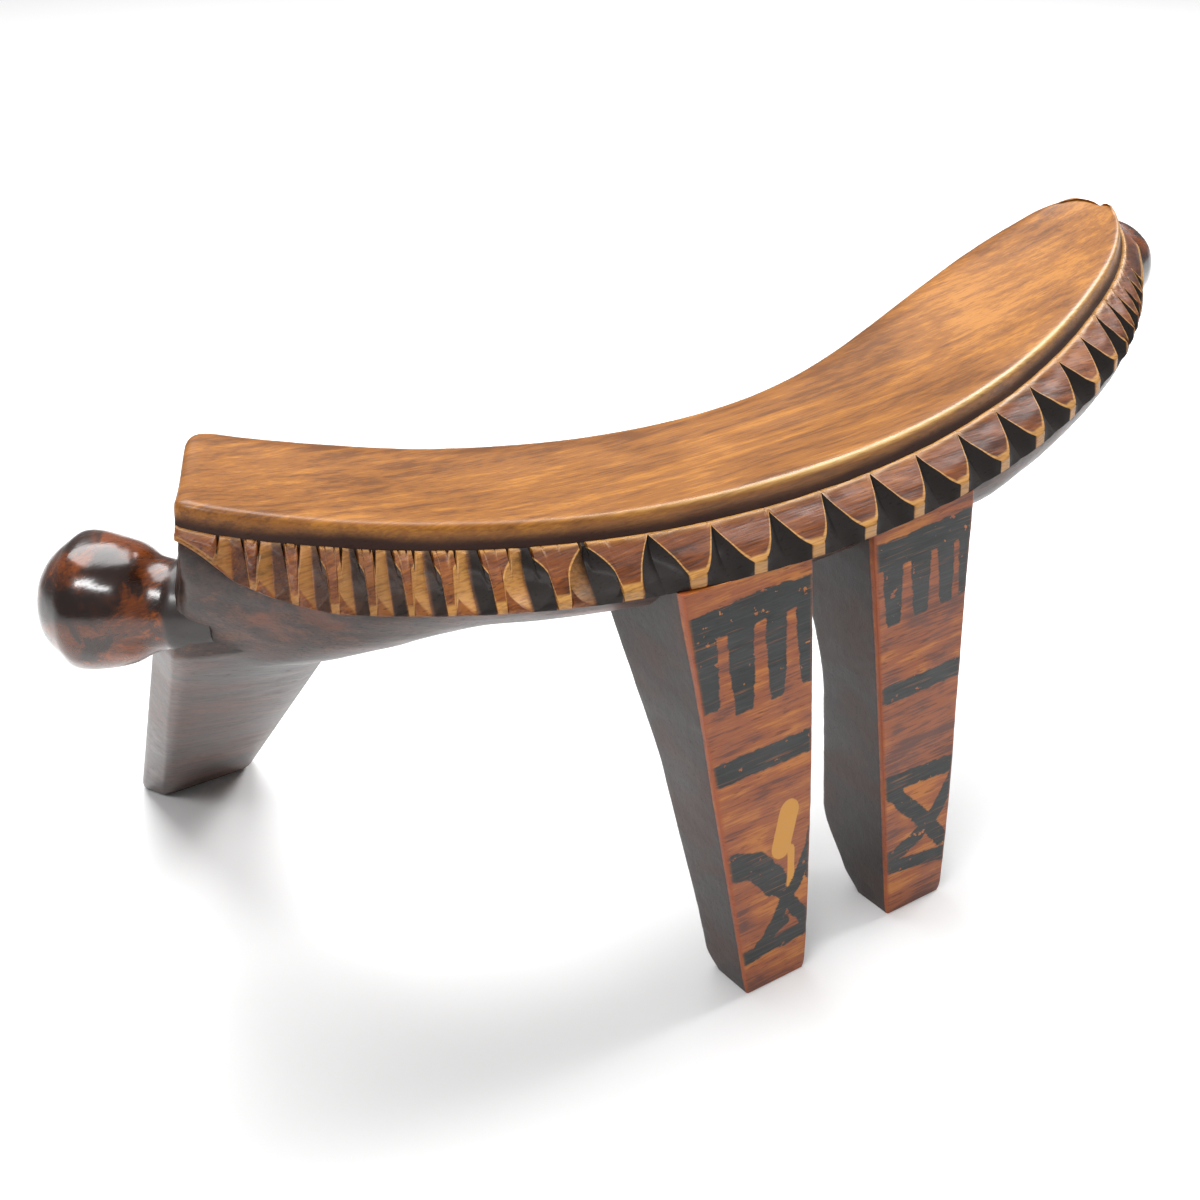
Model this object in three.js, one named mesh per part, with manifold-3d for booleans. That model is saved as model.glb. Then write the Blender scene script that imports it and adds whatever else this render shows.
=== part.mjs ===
// A carved wooden headrest: a crescent seat on two front legs and one raked rear leg, with a knob at
// each end and a notched ledge along the convex front edge. Millimetres, +Z up, feet on z = 0,
// +X along the seat and -Y towards the notched front edge.
import * as THREE from "three";
import Module from "manifold-3d";

const wasm = await Module();
wasm.setup();

// Gap left between neighbouring pieces.
const GAP = 0.3;

// Front edge of the ledge, seen from above: an arc that tightens to the left and turns in at the right end.
const EDGE_RADIUS = 416;
const TIGHTEN_LEFT = 4.1;
const TIGHTEN_RIGHT = 1;
const TURN_FROM_X = 160;
const TURN_DEPTH = 5;
const TURN_LENGTH = 40;
const HALF_SPAN = 148.5;
const SEAT_LEFT_X = -187;
const SEAT_RIGHT_X = 207;

// Back edge of the seat, seen from above.
const BACK_MIDDLE_X = 8;
const BACK_MIDDLE_Y = 70.5;
const BACK_CURVE_LEFT = 0.0016;
const BACK_SWEEP_RIGHT = 17;
const BACK_SPAN_RIGHT = 178;
const BACK_SHARE = 0.787;
const BACK_SHARE_RIGHT = 0.965;
const BACK_END_SHIFT = 4;

// Heights at mid length; each end of the saddle rises above these.
const SEAT_TOP_H = 154.8;
const PAD_FOOT_H = 148;
const LEDGE_BOTTOM_H = 134.5;
const LEDGE_TIP_H = 140;
const LEDGE_ROOT_N = 12.5;
const HULL_BOTTOM_H = 118;
const HULL_LEFT_DROP = 22;
const RISE_SQUARE = 10.4;
const RISE_FOURTH = 1.3;

// Notches in the ledge: wide in the middle, crowding together towards the ends.
const NOTCH_MIDDLE_X = -2;
const NOTCHES_LEFT = 12;
const NOTCHES_RIGHT = 13;
const PITCH_MIDDLE = 20.8;
const PITCH_LEFT_END = 9;
const PITCH_RIGHT_END = 6;
const NOTCH_SHARE = 0.82;
const NOTCH_DEPTH = 9;

const WOOD = new THREE.MeshStandardMaterial({ color: 0x8a5426, roughness: 0.45 });
const DARK_WOOD = new THREE.MeshStandardMaterial({ color: 0x4a2a1a, roughness: 0.4 });

function rise(x) {
  const u = x / HALF_SPAN;
  return RISE_SQUARE * u ** 2 + RISE_FOURTH * u ** 4;
}

function edgePoint(x) {
  const tighten = x < 0 ? TIGHTEN_LEFT : TIGHTEN_RIGHT;
  const turn = Math.max(0, (x - TURN_FROM_X) / TURN_LENGTH);
  const arc = EDGE_RADIUS - Math.sqrt(EDGE_RADIUS ** 2 - x ** 2);
  return new THREE.Vector2(x, arc + tighten * (x / HALF_SPAN) ** 4 + TURN_DEPTH * turn ** 3);
}

function backPoint(x) {
  const share = BACK_SHARE + (BACK_SHARE_RIGHT - BACK_SHARE) * smooth(90, SEAT_RIGHT_X, x);
  const bx = x * share - BACK_END_SHIFT * smooth(-145, SEAT_LEFT_X, x);
  const q = bx - BACK_MIDDLE_X;
  const sweep = BACK_SWEEP_RIGHT * (1 - Math.cos((Math.PI * q) / BACK_SPAN_RIGHT));
  return new THREE.Vector2(bx, BACK_MIDDLE_Y + (q < 0 ? BACK_CURVE_LEFT * q * q : sweep));
}

// Width of the seat at a station, from the front edge of the ledge to the back edge.
function widthAt(x) {
  return edgePoint(x).distanceTo(backPoint(x));
}

// A point of the seat: x of the station on the front edge, n inwards from it, h the mid-length height.
function seatPoint(x, n, h) {
  const edge = edgePoint(x);
  const across = backPoint(x).sub(edge).normalize();
  return new THREE.Vector3(edge.x + across.x * n, edge.y + across.y * n, h + rise(x));
}

function smooth(from, to, value) {
  const t = Math.min(1, Math.max(0, (value - from) / (to - from)));
  return t * t * (3 - 2 * t);
}

// A closed solid through rings of points, with a flat or bulged cap at either end.
function loft(rings) {
  const count = rings[0].length;
  const vertices = [];
  const faces = [];
  for (const ring of rings) {
    for (const p of ring) vertices.push(p.x, p.y, p.z);
  }
  for (let r = 0; r + 1 < rings.length; r++) {
    for (let i = 0; i < count; i++) {
      const a = r * count + i;
      const b = r * count + ((i + 1) % count);
      faces.push(a, b, b + count);
      faces.push(a, b + count, a + count);
    }
  }
  const addCap = (ring, start, turned) => {
    const centre = new THREE.Vector3();
    for (const p of ring) centre.add(p);
    centre.divideScalar(count);
    const middle = vertices.length / 3;
    vertices.push(centre.x, centre.y, centre.z);
    for (let i = 0; i < count; i++) {
      const a = start + i;
      const b = start + ((i + 1) % count);
      if (turned) faces.push(middle, b, a);
      else faces.push(middle, a, b);
    }
  };
  addCap(rings[0], 0, true);
  addCap(rings[rings.length - 1], (rings.length - 1) * count, false);
  return facingOut(vertices, faces);
}

function facingOut(vertices, faces) {
  let volume = 0;
  const corner = (i) => new THREE.Vector3().fromArray(vertices, 3 * i);
  for (let i = 0; i < faces.length; i += 3) {
    volume += corner(faces[i]).dot(corner(faces[i + 1]).cross(corner(faces[i + 2])));
  }
  if (volume < 0) {
    for (let i = 0; i < faces.length; i += 3) {
      [faces[i + 1], faces[i + 2]] = [faces[i + 2], faces[i + 1]];
    }
  }
  return new wasm.Manifold(
    new wasm.Mesh({
      numProp: 3,
      vertProperties: new Float32Array(vertices),
      triVerts: new Uint32Array(faces),
    }),
  );
}

function stations(from, to, count) {
  return Array.from({ length: count + 1 }, (_, i) => from + ((to - from) * i) / count);
}

// How far the corners of the seat are rounded off at a station, in millimetres at either side.
function endRounding(x) {
  const left = Math.max(0, (SEAT_LEFT_X + 9 - x) / 9);
  const right = Math.max(0, (x - (SEAT_RIGHT_X - 16)) / 16);
  const leftDip = 1 - Math.sqrt(Math.max(0, 1 - left ** 2));
  const rightDip = 1 - Math.sqrt(Math.max(0, 1 - right ** 2));
  return { near: 2.5 * leftDip + 3.5 * rightDip, far: 8 * leftDip + 12 * rightDip };
}

// The raised pad people rest on: a slab with a bevelled front side and rounded edges.
function seatPad() {
  const xs = stations(SEAT_LEFT_X, SEAT_RIGHT_X, 56);
  return loft(
    xs.map((x) => {
      const round = endRounding(x);
      const near = LEDGE_ROOT_N + GAP + round.near;
      const far = widthAt(x) - round.far;
      const across = far - near;
      const section = [
        [near, PAD_FOOT_H],
        [near + 1.6, SEAT_TOP_H - 2.4],
        [near + 2.4, SEAT_TOP_H - 0.8],
        [near + Math.min(4, 0.3 * across), SEAT_TOP_H],
        [near + 0.36 * across, SEAT_TOP_H - 0.7],
        [near + 0.5 * across, SEAT_TOP_H - 1],
        [near + 0.64 * across, SEAT_TOP_H - 0.7],
        [far - Math.min(5, 0.3 * across), SEAT_TOP_H],
        [far - 2, SEAT_TOP_H - 0.9],
        [far - 0.5, SEAT_TOP_H - 3],
        [far, PAD_FOOT_H],
      ];
      return section.map(([n, h]) => seatPoint(x, n, h));
    }),
  );
}

// The beam under the pad: a boat-like hull, deeper at the left end where the rear leg grows from it.
function beam() {
  const xs = stations(SEAT_LEFT_X, SEAT_RIGHT_X, 56);
  return loft(
    xs.map((x) => {
      const round = endRounding(x);
      const drop = HULL_LEFT_DROP * (1 - smooth(-180, -105, x));
      const lift = 8 * smooth(150, SEAT_RIGHT_X, x);
      const top = PAD_FOOT_H - GAP;
      const bottom = HULL_BOTTOM_H - drop + lift;
      const under = LEDGE_BOTTOM_H - GAP;
      const inner = LEDGE_ROOT_N + GAP + round.near;
      const keel = under - bottom;
      const far = widthAt(x) - round.far;
      const lean = 1 - smooth(-182, -115, x);
      const full = smooth(20, 80, x);
      const start = 4 + round.near + 5.5 * (1 - smooth(SEAT_LEFT_X, -145, x)) - 2 * full;
      const across = far - start;
      const section = [
        [inner, top],
        [inner, under],
        [start, under],
        [start + (0.08 + 0.03 * lean - 0.07 * full) * across, under - 0.34 * keel],
        [start + (0.18 + 0.06 * lean - 0.12 * full) * across, under - 0.66 * keel],
        [start + (0.32 + 0.08 * lean - 0.17 * full) * across, under - 0.9 * keel],
        [start + (0.5 + 0.05 * lean) * across, bottom],
        [start + 0.68 * across, bottom + 0.08 * keel],
        [start + 0.84 * across, bottom + 0.4 * keel],
        [start + 0.95 * across, under],
        [far, top - 4],
        [far, top],
      ];
      return section.map(([n, h]) => seatPoint(x, n, h));
    }),
  );
}

// Share of the full ledge: it thins away to nothing at the left end and is narrower at the right end.
function ledgeShare(x) {
  return smooth(SEAT_LEFT_X - 6, -150, x) * (1 - 0.4 * smooth(150, SEAT_RIGHT_X, x));
}

function ledge() {
  const xs = stations(SEAT_LEFT_X, SEAT_RIGHT_X, 72);
  return loft(
    xs.map((x) => {
      const share = 0.2 + 0.8 * ledgeShare(x);
      const tip = LEDGE_ROOT_N * (1 - share);
      const bottom = LEDGE_BOTTOM_H + 7 * (1 - share);
      const section = [
        [LEDGE_ROOT_N, bottom],
        [tip, bottom],
        [tip, bottom + (LEDGE_TIP_H - LEDGE_BOTTOM_H)],
        [LEDGE_ROOT_N - 3, PAD_FOOT_H - 1.2],
        [LEDGE_ROOT_N - 2, PAD_FOOT_H],
        [LEDGE_ROOT_N, PAD_FOOT_H],
      ];
      return section.map(([n, h]) => seatPoint(x, n, h));
    }),
  );
}

function pitchLeft(away) {
  return PITCH_LEFT_END + (PITCH_MIDDLE - PITCH_LEFT_END) * (1 - smooth(3, 8, away));
}

function pitchRight(away) {
  return PITCH_RIGHT_END + (PITCH_MIDDLE - PITCH_RIGHT_END) * (1 - smooth(4.5, 10.5, away));
}

// Every notch as its station on the front edge and the pitch there.
function notches() {
  const made = [{ x: NOTCH_MIDDLE_X, pitch: PITCH_MIDDLE }];
  let x = NOTCH_MIDDLE_X;
  for (let i = 0; i < NOTCHES_LEFT; i++) {
    x -= pitchLeft(i + 0.5);
    made.push({ x, pitch: pitchLeft(i + 1) });
  }
  x = NOTCH_MIDDLE_X;
  for (let i = 0; i < NOTCHES_RIGHT; i++) {
    x += pitchRight(i + 0.5);
    made.push({ x, pitch: pitchRight(i + 1) });
  }
  return made;
}

// A V-shaped cutter standing across the ledge at one notch.
function notchCutter({ x, pitch }) {
  const share = ledgeShare(x);
  const shallow = 0.3 + 0.7 * share + 0.35 * (1 - share) * (x < 0 ? 1 : 0);
  const deep = NOTCH_DEPTH * shallow * Math.min(1, 0.5 + (0.5 * pitch) / PITCH_MIDDLE);
  const tip = LEDGE_ROOT_N * 0.8 * (1 - share);
  const half = (NOTCH_SHARE * pitch) / 2;
  const outside = 0.5;
  const ring = (h) => [
    seatPoint(x - half * (1 + outside), tip - deep * outside, h),
    seatPoint(x + half * (1 + outside), tip - deep * outside, h),
    seatPoint(x, tip + deep, h),
  ];
  return loft([ring(LEDGE_BOTTOM_H - 8), ring(PAD_FOOT_H + 6)]);
}

function toothedRim() {
  let rim = ledge();
  for (const notch of notches()) rim = rim.subtract(notchCutter(notch));
  return rim;
}

// One front leg: a tapering post with a broad front face, its top in under the ledge.
function frontLeg(leg, grow) {
  const levels = [0, 0.03, 0.16, 0.3, 0.45, 0.6, 0.72, 0.82, 0.9, 1];
  const rings = levels.map((v) => {
    const left = THREE.MathUtils.lerp(leg.footLeft, leg.topLeft, v) - grow;
    const right = THREE.MathUtils.lerp(leg.footRight, leg.topRight, v) + grow;
    const front = THREE.MathUtils.lerp(leg.footFront, leg.topFront, v ** 1.2) - grow;
    const toe = leg.backToe * (1 - smooth(0, leg.toeShare, v));
    const flare = leg.backFlare * smooth(0.5, 1, v);
    const back = leg.backMiddle - toe + flare + grow;
    const chamfer = 2.2;
    const outline = [
      [left + chamfer / 2, front],
      [right - chamfer / 2, front],
      [right, front + chamfer],
      [right - 1, back - chamfer],
      [right - 1 - chamfer, back],
      [left + 1 + chamfer, back],
      [left + 1, back - chamfer],
      [left, front + chamfer],
    ];
    return outline.map(([x, y]) => {
      const top = LEDGE_BOTTOM_H - GAP + rise(x) + grow;
      return new THREE.Vector3(x, y, v * top - (v === 0 ? grow : 0));
    });
  });
  return loft(rings);
}

const KNOB_SIDES = 40;
const KNOB_STEPS = 14;

const LEFT_KNOB = {
  station: SEAT_LEFT_X,
  root: knobRoot(SEAT_LEFT_X, 0.44, 136.7, 1),
  centre: new THREE.Vector3(-188.7, 98, 136.7),
  radius: 19.4,
  neck: 15.2,
};

const RIGHT_KNOB = {
  station: SEAT_RIGHT_X,
  root: knobRoot(SEAT_RIGHT_X, 0.5, 151, -1),
  centre: new THREE.Vector3(218.3, 94.7, 150),
  radius: 17.1,
  neck: 13.4,
};

const LEFT_LEG = {
  footLeft: -43,
  footRight: -19,
  footFront: -10,
  topLeft: -61,
  topRight: -12,
  topFront: 2.5,
  backToe: 16,
  backMiddle: 27,
  backFlare: 18,
  toeShare: 0.7,
};

const RIGHT_LEG = {
  footLeft: 20,
  footRight: 44,
  footFront: -6,
  topLeft: 13,
  topRight: 55,
  topFront: 3.5,
  backToe: 12,
  backMiddle: 27,
  backFlare: 16,
  toeShare: 0.2,
};

// The rear leg: a broad wedge that runs back and down from the left end of the beam to a smaller foot.
const REAR_TOP = [
  [-180, 73],
  [-139, 55],
  [-121, 80],
  [-134, 106],
  [-160, 110],
  [-178, 90],
];
const REAR_FOOT = [
  [-129, 199],
  [-97, 198],
  [-91, 205],
  [-98, 223],
  [-122, 226],
  [-133, 209],
];
const REAR_TOP_Z = 126;

function rearLeg(grow) {
  const levels = [0, 0.06, 0.2, 0.4, 0.6, 0.8, 1];
  return loft(
    levels.map((level) => {
      const v = level * (1 + grow / REAR_TOP_Z);
      const centre = { x: 0, y: 0 };
      const outline = REAR_TOP.map(([x, y], i) => {
        const [fx, fy] = REAR_FOOT[i];
        const px = THREE.MathUtils.lerp(fx, x, v);
        const py = THREE.MathUtils.lerp(fy, y, v);
        centre.x += px / REAR_TOP.length;
        centre.y += py / REAR_TOP.length;
        return [px, py];
      });
      return outline.map(([x, y]) => {
        const reach = Math.hypot(x - centre.x, y - centre.y);
        const out = (reach + grow) / reach;
        const z = v * REAR_TOP_Z - (v === 0 ? grow : 0);
        return new THREE.Vector3(centre.x + (x - centre.x) * out, centre.y + (y - centre.y) * out, z);
      });
    }),
  );
}

// A knob on a short neck that starts flat against one end of the seat.
function knob({ station, root, centre, radius, neck }, grow) {
  const reach = centre.distanceTo(root);
  const bulb = radius + grow;
  const joinAngle = -Math.acos(neck / radius);
  const up = new THREE.Vector3(0, 0, 1);
  const axis = centre.clone().sub(root).normalize();
  const sideways = up.clone().cross(axis).normalize();
  const edge = edgePoint(station);
  const back = backPoint(station);
  const face = new THREE.Vector3(edge.x - back.x, edge.y - back.y, 0).normalize();
  if (face.dot(sideways) < 0) face.negate();
  const ringAt = (along, r, across) =>
    Array.from({ length: KNOB_SIDES }, (_, i) => {
      const a = (2 * Math.PI * i) / KNOB_SIDES;
      return root
        .clone()
        .addScaledVector(axis, along)
        .addScaledVector(across, r * Math.cos(a))
        .addScaledVector(up, r * Math.sin(a));
    });
  const rings = [ringAt(-grow, neck + 1.5 + grow, face), ringAt(4, neck + grow, sideways)];
  for (let i = 0; i < KNOB_STEPS; i++) {
    const angle = joinAngle + ((Math.PI / 2 - joinAngle) * i) / KNOB_STEPS;
    rings.push(ringAt(reach + bulb * Math.sin(angle), bulb * Math.cos(angle), sideways));
  }
  return loft(rings);
}

// The point on an end face of the seat, just clear of it, where a knob starts.
function knobRoot(station, share, z, side) {
  const edge = edgePoint(station);
  const back = backPoint(station);
  const across = back.clone().sub(edge).normalize();
  const out = new THREE.Vector2(-across.y, across.x).multiplyScalar(side * 1.5 * GAP);
  const point = edge.lerp(back, share).add(out);
  return new THREE.Vector3(point.x, point.y, z);
}

function meshOf(name, solid, material) {
  const made = solid.getMesh();
  const step = made.numProp;
  const positions = new Float32Array(made.numVert * 3);
  for (let i = 0; i < made.numVert; i++) {
    positions.set(made.vertProperties.subarray(i * step, i * step + 3), i * 3);
  }
  const geometry = new THREE.BufferGeometry();
  geometry.setAttribute("position", new THREE.BufferAttribute(positions, 3));
  geometry.setIndex(new THREE.BufferAttribute(new Uint32Array(made.triVerts), 1));
  geometry.computeVertexNormals();
  const mesh = new THREE.Mesh(geometry, material);
  mesh.name = name;
  return mesh;
}

const body = beam()
  .subtract(frontLeg(LEFT_LEG, GAP))
  .subtract(frontLeg(RIGHT_LEG, GAP))
  .subtract(rearLeg(1.6 * GAP));

const headrest = new THREE.Group();
headrest.add(meshOf("seat_pad", seatPad(), WOOD));
headrest.add(meshOf("toothed_rim", toothedRim(), WOOD));
headrest.add(meshOf("body_beam", body, DARK_WOOD));
headrest.add(meshOf("front_leg_left", frontLeg(LEFT_LEG, 0), DARK_WOOD));
headrest.add(meshOf("front_leg_right", frontLeg(RIGHT_LEG, 0), DARK_WOOD));
headrest.add(meshOf("rear_leg", rearLeg(0).subtract(knob(LEFT_KNOB, GAP)), DARK_WOOD));
headrest.add(meshOf("left_knob", knob(LEFT_KNOB, 0), DARK_WOOD));
headrest.add(meshOf("right_knob", knob(RIGHT_KNOB, 0), DARK_WOOD));

// The origin goes on the floor, under the middle of the whole outline.
const middle = new THREE.Box3().setFromObject(headrest).getCenter(new THREE.Vector3());
for (const piece of headrest.children) piece.geometry.translate(-middle.x, -middle.y, 0);

export default headrest;
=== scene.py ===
import math

import bmesh
import bpy
import numpy as np
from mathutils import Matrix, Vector


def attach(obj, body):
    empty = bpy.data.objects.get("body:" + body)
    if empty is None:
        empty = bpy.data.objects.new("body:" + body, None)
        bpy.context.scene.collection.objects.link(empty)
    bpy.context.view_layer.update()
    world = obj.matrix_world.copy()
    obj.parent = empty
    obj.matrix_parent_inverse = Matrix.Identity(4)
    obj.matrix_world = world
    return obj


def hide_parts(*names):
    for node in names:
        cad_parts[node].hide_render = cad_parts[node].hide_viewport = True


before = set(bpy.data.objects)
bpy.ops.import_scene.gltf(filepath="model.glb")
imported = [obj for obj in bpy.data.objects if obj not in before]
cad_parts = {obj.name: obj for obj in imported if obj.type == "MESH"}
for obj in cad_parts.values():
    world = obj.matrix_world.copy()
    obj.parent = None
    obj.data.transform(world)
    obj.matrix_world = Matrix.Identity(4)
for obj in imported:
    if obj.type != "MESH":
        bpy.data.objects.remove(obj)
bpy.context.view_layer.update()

# ---------------------------------------------------------------------------------------------
# Dimensions of the headrest, in millimetres. They are the part's own: the working frame has the
# middle of the convex edge near x = 0 and y = 0, and ORIGIN_X, ORIGIN_Y is where the row frame's
# origin lies in it.
# ---------------------------------------------------------------------------------------------
ORIGIN_X = 14.0
ORIGIN_Y = 108.0
EDGE_RADIUS = 416
TIGHTEN_LEFT = 4.1
TIGHTEN_RIGHT = 1
TURN_FROM_X = 160
TURN_DEPTH = 5
TURN_LENGTH = 40
HALF_SPAN = 148.5
SEAT_LEFT_X = -187
SEAT_RIGHT_X = 207
BACK_MIDDLE_X = 8
BACK_MIDDLE_Y = 70.5
BACK_CURVE_LEFT = 0.0016
BACK_SWEEP_RIGHT = 17
BACK_SPAN_RIGHT = 178
BACK_SHARE = 0.787
BACK_SHARE_RIGHT = 0.965
BACK_END_SHIFT = 4
SEAT_TOP_H = 154.8
PAD_FOOT_H = 148
LEDGE_BOTTOM_H = 134.5
LEDGE_TIP_H = 140
LEDGE_ROOT_N = 12.5
HULL_BOTTOM_H = 118
HULL_LEFT_DROP = 22
RISE_SQUARE = 10.4
RISE_FOURTH = 1.3
NOTCH_MIDDLE_X = -2
NOTCHES_LEFT = 12
NOTCHES_RIGHT = 13
PITCH_MIDDLE = 20.8
PITCH_LEFT_END = 9
PITCH_RIGHT_END = 6
NOTCH_SHARE = 0.82
REAR_TOP_Z = 126
REAR_TOP = [(-180, 73), (-139, 55), (-121, 80), (-134, 106), (-160, 110), (-178, 90)]
REAR_SHOULDER = [(-180, 65), (-158, 56), (-128, 80), (-138, 98), (-157, 98), (-165, 86)]
REAR_FOOT = [(-129, 199), (-97, 198), (-91, 205), (-98, 223), (-122, 226), (-133, 209)]
LEFT_LEG = dict(foot=(-43, -19), foot_front=-10, top=(-61, -12), top_front=2.5,
                toe=16, middle=27, flare=18, toe_share=0.7)
RIGHT_LEG = dict(foot=(20, 44), foot_front=-6, top=(13, 55), top_front=3.5,
                 toe=12, middle=27, flare=16, toe_share=0.2)
FOOT_ROUNDING = 3.5
FRONT_CORNER_RADIUS = 0.8
BACK_CORNER_RADIUS = 2.4
VOXEL_SIZE_M = 0.0012
LEFT_KNOB = dict(station=SEAT_LEFT_X, share=0.44, root_z=136.7, centre=(-188.7, 98, 136.7),
                 radius=19.2, neck=13.0, flat=0.80)
RIGHT_KNOB = dict(station=SEAT_RIGHT_X, share=0.5, root_z=151, centre=(218.3, 94.7, 150),
                  radius=17.0, neck=12.2, flat=0.98)


def smooth(low, high, value):
    t = np.clip((np.asarray(value, float) - low) / (high - low), 0, 1)
    return t * t * (3 - 2 * t)


def lerp(a, b, t):
    return a + (b - a) * t


def rise(x):
    u = np.asarray(x, float) / HALF_SPAN
    return RISE_SQUARE * u ** 2 + RISE_FOURTH * u ** 4


def edge_point(x):
    """The front edge of the ledge, seen from above."""
    x = np.asarray(x, float)
    tighten = np.where(x < 0, TIGHTEN_LEFT, TIGHTEN_RIGHT)
    turn = np.maximum(0, (x - TURN_FROM_X) / TURN_LENGTH)
    arc = EDGE_RADIUS - np.sqrt(EDGE_RADIUS ** 2 - x ** 2)
    return np.stack([x, arc + tighten * (x / HALF_SPAN) ** 4 + TURN_DEPTH * turn ** 3], -1)


def back_point(x):
    """The back edge of the seat, seen from above."""
    x = np.asarray(x, float)
    bx = x * (BACK_SHARE + (BACK_SHARE_RIGHT - BACK_SHARE) * smooth(90, SEAT_RIGHT_X, x))
    bx = bx - BACK_END_SHIFT * smooth(-145, SEAT_LEFT_X, x)
    q = bx - BACK_MIDDLE_X
    sweep = BACK_SWEEP_RIGHT * (1 - np.cos(np.pi * q / BACK_SPAN_RIGHT))
    return np.stack([bx, BACK_MIDDLE_Y + np.where(q < 0, BACK_CURVE_LEFT * q * q, sweep)], -1)


def width_at(x):
    return float(np.linalg.norm(back_point(x) - edge_point(x)))


def seat_points(x, section):
    """Points of the seat at a station: section rows are (distance in from the edge, height)."""
    section = np.asarray(section, float)
    edge, back = edge_point(x), back_point(x)
    across = (back - edge) / np.linalg.norm(back - edge)
    flat = edge + section[:, :1] * across
    return np.column_stack([flat, section[:, 1] + rise(x)])


def end_rounding(x):
    left = max(0.0, (SEAT_LEFT_X + 9 - x) / 9)
    right = max(0.0, (x - (SEAT_RIGHT_X - 16)) / 16)
    left_dip = 1 - math.sqrt(max(0.0, 1 - left ** 2))
    right_dip = 1 - math.sqrt(max(0.0, 1 - right ** 2))
    return 2.5 * left_dip + 3.5 * right_dip, 8 * left_dip + 12 * right_dip


def ledge_share(x):
    return smooth(SEAT_LEFT_X - 6, -150, x) * (1 - 0.4 * smooth(150, SEAT_RIGHT_X, x))


# ---------------------------------------------------------------------------------------------
# Noise, curves and meshes
# ---------------------------------------------------------------------------------------------
def hashed(ix, iy, iz, seed):
    h = (ix * 374761393 + iy * 668265263 + iz * 2147483647 + seed * 144269504) & 0xFFFFFFFF
    h = ((h ^ (h >> 13)) * 1274126177) & 0xFFFFFFFF
    return ((h ^ (h >> 16)) & 0xFFFF) / 65535.0


def noise(points, size, seed):
    """Smooth noise from -1 to 1, with bumps about `size` across (one number or one per axis)."""
    p = np.asarray(points, float) / np.asarray(size, float)
    base = np.floor(p).astype(np.int64)
    f = p - base
    f = f * f * (3 - 2 * f)
    total = np.zeros(len(p))
    for dx in (0, 1):
        for dy in (0, 1):
            for dz in (0, 1):
                w = (np.abs(1 - dx - f[:, 0]) * np.abs(1 - dy - f[:, 1]) * np.abs(1 - dz - f[:, 2]))
                total += w * hashed(base[:, 0] + dx, base[:, 1] + dy, base[:, 2] + dz, seed)
    return 2 * total - 1


def curve_through(points, count):
    """Evenly spread points on a smooth curve through the given ones (Catmull-Rom)."""
    p = np.asarray(points, float)
    p = np.vstack([2 * p[0] - p[1], p, 2 * p[-1] - p[-2]])
    out = []
    for i in range(1, len(p) - 2):
        t = np.linspace(0, 1, 12, endpoint=False)[:, None]
        a, b, c, d = p[i - 1], p[i], p[i + 1], p[i + 2]
        out.append(0.5 * ((2 * b) + (c - a) * t + (2 * a - 5 * b + 4 * c - d) * t ** 2
                          + (3 * b - a - 3 * c + d) * t ** 3))
    out.append(p[-2][None])
    return resample(np.vstack(out), count)


def resample(points, count):
    p = np.asarray(points, float)
    along = np.concatenate([[0], np.cumsum(np.linalg.norm(np.diff(p, axis=0), axis=1))])
    at = np.linspace(0, along[-1], count)
    return np.column_stack([np.interp(at, along, p[:, k]) for k in range(p.shape[1])])


def to_row(points):
    """Working frame in millimetres to the row frame in metres."""
    return (np.asarray(points, float) - (ORIGIN_X, ORIGIN_Y, 0)) * 0.001


def new_object(name, points, faces):
    mesh = bpy.data.meshes.new(name)
    mesh.from_pydata(to_row(points).tolist(), [], faces)
    mesh.update()
    made = bpy.data.objects.new(name, mesh)
    bpy.context.scene.collection.objects.link(made)
    return made


def loft(name, rings):
    """A closed skin over rings of points, with a fan cap at either end, its faces out."""
    rings = np.asarray(rings, float)
    levels, count = rings.shape[:2]
    points = rings.reshape(-1, 3)
    faces = []
    for r in range(levels - 1):
        a = r * count
        for i in range(count):
            j = (i + 1) % count
            faces.append((a + i, a + j, a + count + j, a + count + i))
    points = np.vstack([points, rings[0].mean(0), rings[-1].mean(0)])
    first, last = len(points) - 2, len(points) - 1
    top = (levels - 1) * count
    for i in range(count):
        j = (i + 1) % count
        faces.append((first, j, i))
        faces.append((last, top + i, top + j))
    made = new_object(name, points, faces)
    face_out(made)
    return made


def face_out(made):
    bm = bmesh.new()
    bm.from_mesh(made.data)
    bmesh.ops.recalc_face_normals(bm, faces=bm.faces)
    if bm.calc_volume(signed=True) < 0:
        bmesh.ops.reverse_faces(bm, faces=bm.faces)
    bm.to_mesh(made.data)
    bm.free()


def apply_modifiers(made):
    evaluated = made.evaluated_get(bpy.context.evaluated_depsgraph_get())
    mesh = bpy.data.meshes.new_from_object(evaluated)
    made.modifiers.clear()
    made.data = mesh


def positions(made):
    co = np.empty(len(made.data.vertices) * 3, np.float32)
    made.data.vertices.foreach_get("co", co)
    return co.reshape(-1, 3).astype(float) * 1000 + (ORIGIN_X, ORIGIN_Y, 0)


def normals(made):
    no = np.empty(len(made.data.vertices) * 3, np.float32)
    made.data.vertices.foreach_get("normal", no)
    return no.reshape(-1, 3).astype(float)


def set_positions(made, points):
    made.data.vertices.foreach_set("co", to_row(points).astype(np.float32).ravel())
    made.data.update()


def set_value(made, name, values):
    layer = made.data.attributes.get(name) or made.data.attributes.new(name, "FLOAT", "POINT")
    layer.data.foreach_set("value", np.asarray(values, np.float32))


def carve(made, marks):
    """Knife and adze marks: moves each point along its normal. marks rows: size, depth, seed."""
    p, n = positions(made), normals(made)
    moved = sum(noise(p, size, seed) * depth for size, depth, seed in marks)
    set_positions(made, p + n * moved[:, None])


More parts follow.
